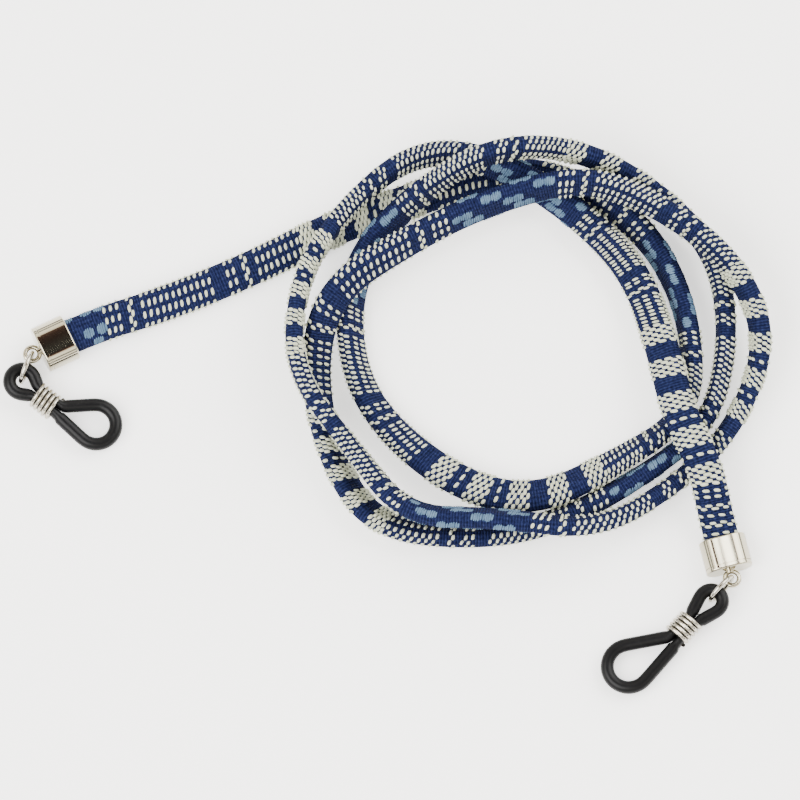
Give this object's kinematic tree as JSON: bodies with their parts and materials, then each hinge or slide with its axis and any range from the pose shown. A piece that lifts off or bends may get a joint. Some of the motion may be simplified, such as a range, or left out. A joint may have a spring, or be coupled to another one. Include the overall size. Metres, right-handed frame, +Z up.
{
  "type": "eyeglass retainer strap",
  "caption": "Woven patterned band coiled loosely on a surface, with metal end caps, jump rings and rubber temple loops with wire adjuster coils",
  "frame": {"origin": "middle of the box round the end fittings, on the surface that the strap lies on", "axes": "+X from the left fitting towards the right fitting, +Y towards the top of the coiled bundle, +Z up from the surface"},
  "size_m": [0.115, 0.0834, 0.0135],
  "materials": {
    "woven_band": "woven cotton, navy ground with cream and sky blue pattern",
    "filler_cotton": "plain twisted cotton",
    "glue": "hardened amber glue",
    "cap_nickel": "polished nickel plate",
    "wire_nickel": "bright nickel wire",
    "black_rubber": "smooth soft rubber"
  },
  "bodies": {
    "strap": {"woven_sheath": "woven_band", "filler_cord_1": "filler_cotton", "filler_cord_2": "filler_cotton", "filler_cord_3": "filler_cotton", "left_glue_plug": "glue", "right_glue_plug": "glue", "left_end_cap": "cap_nickel", "right_end_cap": "cap_nickel"},
    "left_ring": {"left_jump_ring": "wire_nickel"},
    "left_loop": {"left_rubber_loop": "black_rubber"},
    "left_coil": {"left_adjuster_coil": "wire_nickel"},
    "right_ring": {"right_jump_ring": "wire_nickel"},
    "right_loop": {"right_rubber_loop": "black_rubber"},
    "right_coil": {"right_adjuster_coil": "wire_nickel"}
  },
  "joints": [
    {"name": "left_ring_swivel", "type": "hinge", "parent": "strap", "child": "left_ring", "pos_m": [-0.05139, 0.02329, 0.0022], "axis": [0, 0, 1], "range_deg": [-108, 22]},
    {"name": "left_loop_swivel", "type": "hinge", "parent": "left_ring", "child": "left_loop", "pos_m": [-0.05311, 0.01891, 0.00275], "axis": [0, 0, 1], "range_deg": [-158.5, 11.5]},
    {"name": "left_coil_slide", "type": "slide", "parent": "left_loop", "child": "left_coil", "axis": [0.7844, -0.6128, -0.0958], "range_m": [0, 0.004], "deforming": ["left_rubber_loop"]},
    {"name": "right_ring_swivel", "type": "hinge", "parent": "strap", "child": "right_ring", "pos_m": [0.05288, -0.01116, 0.0022], "axis": [0, 0, 1], "range_deg": [-7.5, 122.5]},
    {"name": "right_loop_swivel", "type": "hinge", "parent": "right_ring", "child": "right_loop", "pos_m": [0.04967, -0.0146, 0.00275], "axis": [0, 0, 1], "range_deg": [-30, 86]},
    {"name": "right_coil_slide", "type": "slide", "parent": "right_loop", "child": "right_coil", "axis": [-0.6925, -0.7171, -0.0785], "range_m": [0, 0.004], "deforming": ["right_rubber_loop"]}
  ]
}
